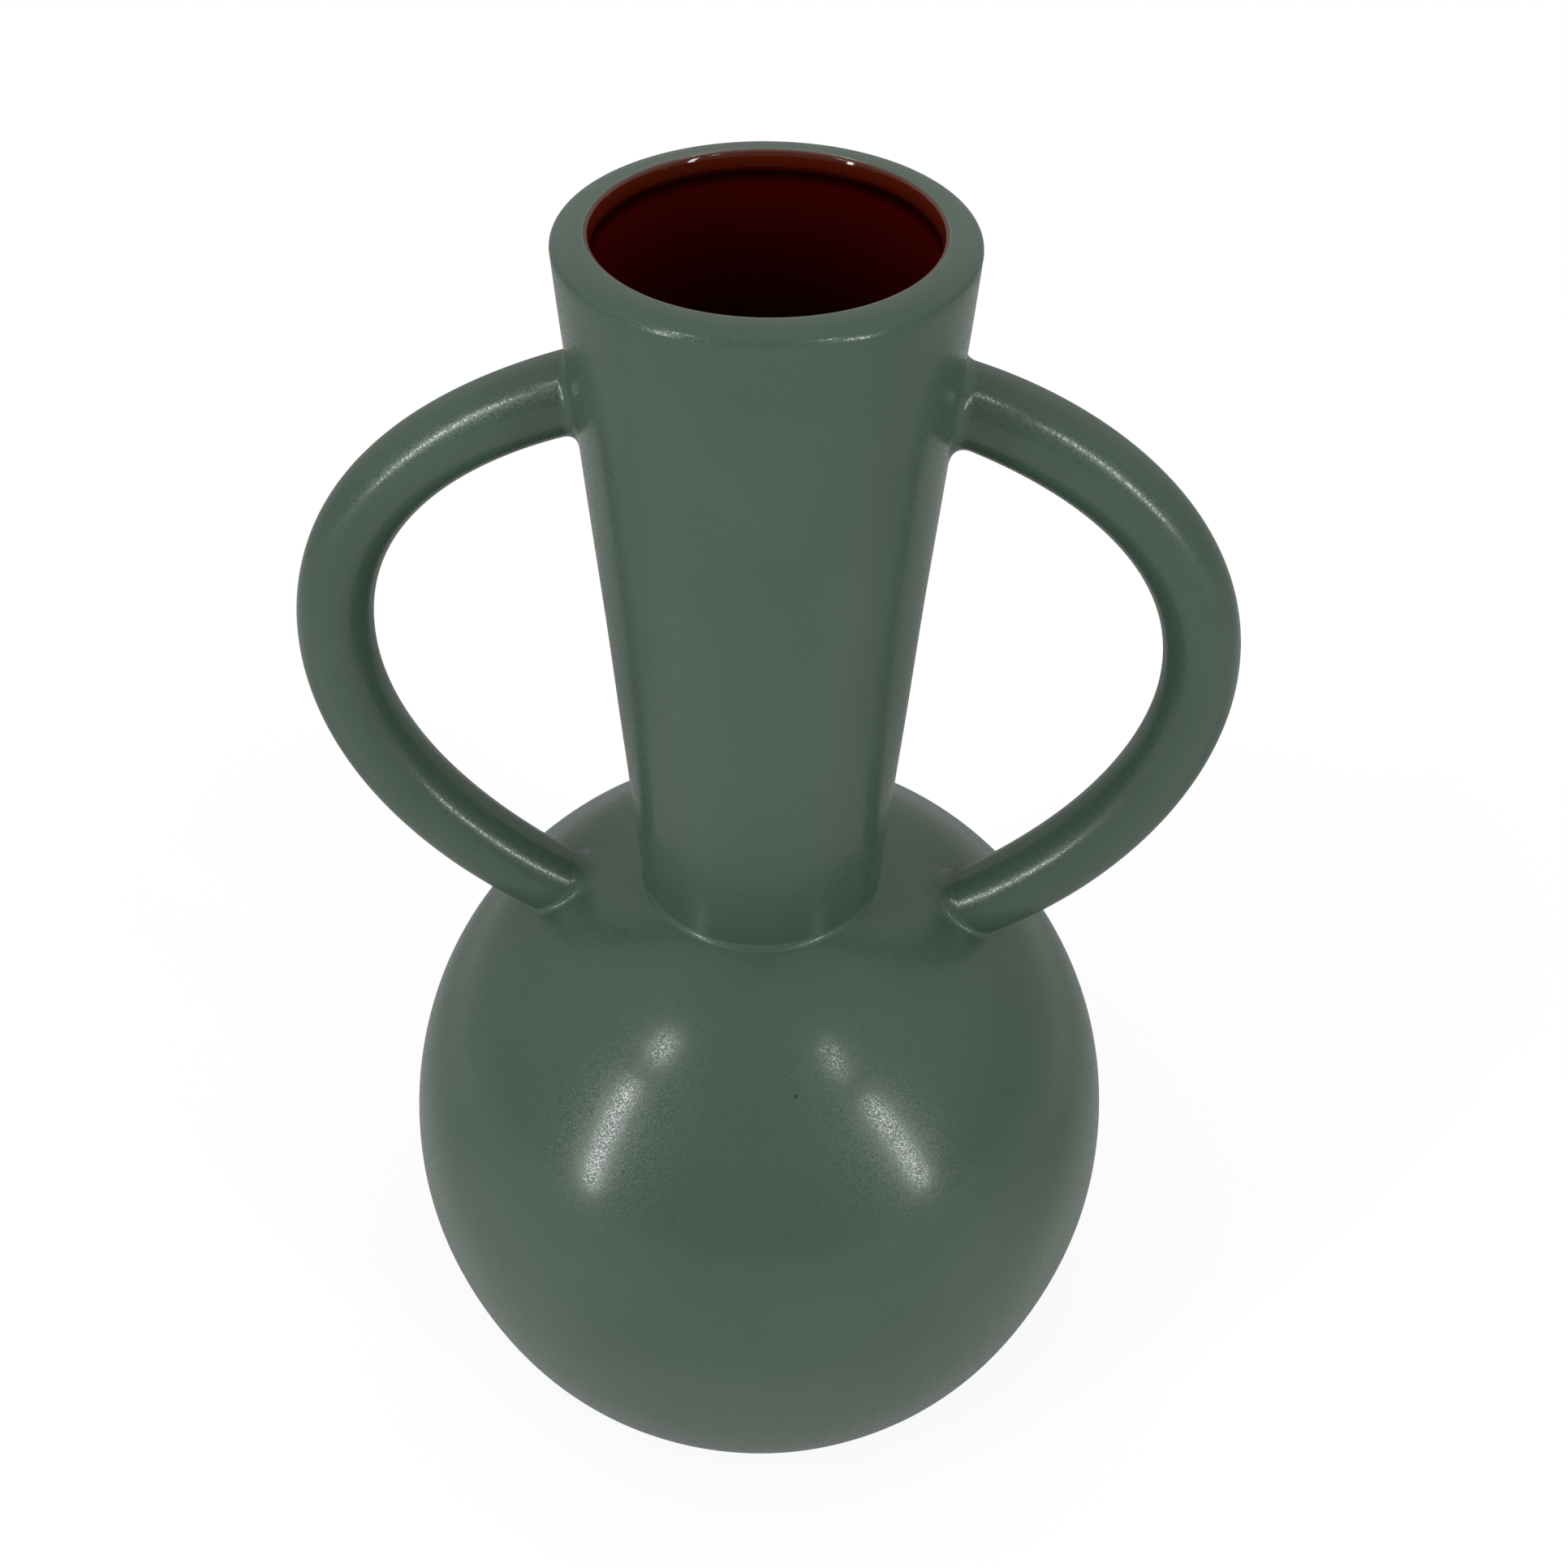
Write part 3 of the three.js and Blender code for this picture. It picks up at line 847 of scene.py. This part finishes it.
def floor_material():
    """Pale, with plain white over it: far off in a reflection, and to the camera where the shadow lets it.
    Its colour has a painted shadow round the vase and painted shade further off. Its reflection has a painted
    pool of light in front of the vase and painted shade behind it.
    """
    material = bpy.data.materials.new("white_floor")
    material.use_nodes = True
    tree = material.node_tree
    shader = tree.nodes["Principled BSDF"]
    shader.inputs["Roughness"].default_value = 1.0
    shader.inputs["Specular IOR Level"].default_value = 0.0
    place = tree.nodes.new("ShaderNodeTexCoord").outputs["Object"]
    parts = tree.nodes.new("ShaderNodeSeparateXYZ")
    tree.links.new(place, parts.inputs[0])
    length = tree.nodes.new("ShaderNodeVectorMath")
    length.operation = "LENGTH"
    tree.links.new(place, length.inputs[0])

    def by_distance(row):
        return map_range(tree, length.outputs["Value"], *row)

    def by_y(row):
        return map_range(tree, parts.outputs["Y"], *row)

    # Painted shadow close round the vase, and painted shade further off
    mirrored_base = joined(tree, "MINIMUM", by_distance(MIRRORED_PAINTED_SHADOW_NEAR), by_distance(MIRRORED_PAINTED_SHADE_FAR))
    base = by_ray(tree, by_distance(LIT_BASE_PAINTED_SHADOW), mirrored_base, SEEN_BASE)
    tree.links.new(base, shader.inputs["Base Color"])
    # A painted pool of light close in front of the vase, in a reflection
    painted_light_in_front = joined(tree, "MULTIPLY", by_distance(NEAR_WHITE), by_y(NEAR_IN_FRONT))
    mirrored_white = joined(tree, "MAXIMUM", painted_light_in_front, by_distance(FAR_WHITE))
    # Painted light in front, and painted shade far off behind the vase
    mirrored_level = mixed(tree, by_distance(NEAR_TO_FAR), by_distance(NEAR_PAINTED_LIGHT_LEVEL), by_y(FAR_LEVEL_PAINTED_SHADE_BEHIND))
    white = tree.nodes.new("ShaderNodeEmission")
    level = by_ray(tree, 1.0, mirrored_level, by_distance(SEEN_LEVEL))
    tree.links.new(level, white.inputs["Strength"])
    mix = tree.nodes.new("ShaderNodeMixShader")
    tree.links.new(by_ray(tree, 0.0, mirrored_white, by_distance(SEEN_WHITE)), mix.inputs[0])
    tree.links.new(shader.outputs[0], mix.inputs[1])
    tree.links.new(white.outputs[0], mix.inputs[2])
    tree.links.new(mix.outputs[0], tree.nodes["Material Output"].inputs["Surface"])
    return material


def add_floor():
    """A pale floor, white to the camera, that keeps a share of the vase's shadow."""
    half = FLOOR_SIZE / 2
    corners = [(-half, -half, 0), (half, -half, 0), (half, half, 0), (-half, half, 0)]
    mesh = bpy.data.meshes.new("floor")
    mesh.from_pydata(corners, [], [(0, 1, 2, 3)])
    mesh.materials.append(floor_material())
    floor = bpy.data.objects.new("floor", mesh)
    bpy.context.scene.collection.objects.link(floor)


noise.seed_set(WOBBLE_SEED)
add_camera()
for lamp_name, facts in LAMPS.items():
    add_lamp(lamp_name, *facts)
add_world()
add_floor()
bpy.context.scene.view_settings.view_transform = "Standard"

GREEN = green_glaze("satin_green_glaze", 1.0)
DEEPER_GREEN = green_glaze("satin_green_glaze_on_bars", 0.955)
RED = red_glaze()
CLAY = bare_clay()

finish_piece(globe_shell(), GREEN, "green_glaze", "globe_bowl", "globe_dome")
finish_piece(neck_shell(), GREEN, "green_glaze", "neck_tube")
finish_piece(neck_fillet(), GREEN, "green_glaze", "neck_joint_coil")
finish_piece(glaze_lining(), RED, "red_glaze", "inner_glaze")
finish_piece(foot_shell(), CLAY, "bare_clay", "foot_ring")
# The two hands differ a little. Each has its side, the bar's radius at its ends and quarters, how far its
# apex strays outward, the drops of root and apex from the rim, the latitude of its lower root, the slopes of
# both roots, and how far the line leans on its four tangents, in millimetres and degrees
RIGHT_RADII = (7.4, 7.53, 7.36, 7.88, 7.6)
RIGHT_LEANS = (31.0, 29.0, 24.4, 27.3)
LEFT_RADII = (7.44, 7.08, 7.46, 7.95, 7.65)
LEFT_LEANS = (32.1, 29.9, 23.6, 30.3)
HANDLES = [
    Handle("right", 1, RIGHT_RADII, 0.35, (31.4, 91.5), 56.4, (18.4, 31.9), RIGHT_LEANS),
    Handle("left", -1, LEFT_RADII, -0.27, (32.6, 92.6), 56.9, (17.2, 32.2), LEFT_LEANS),
]
for handle in HANDLES:
    node = "handle_" + handle.hand
    finish_piece(handle.bar(), DEEPER_GREEN, "green_glaze", node)
    finish_piece(handle.fillet(True), GREEN, "green_glaze", node + "_upper_coil")
    finish_piece(handle.fillet(False), GREEN, "green_glaze", node + "_lower_coil")
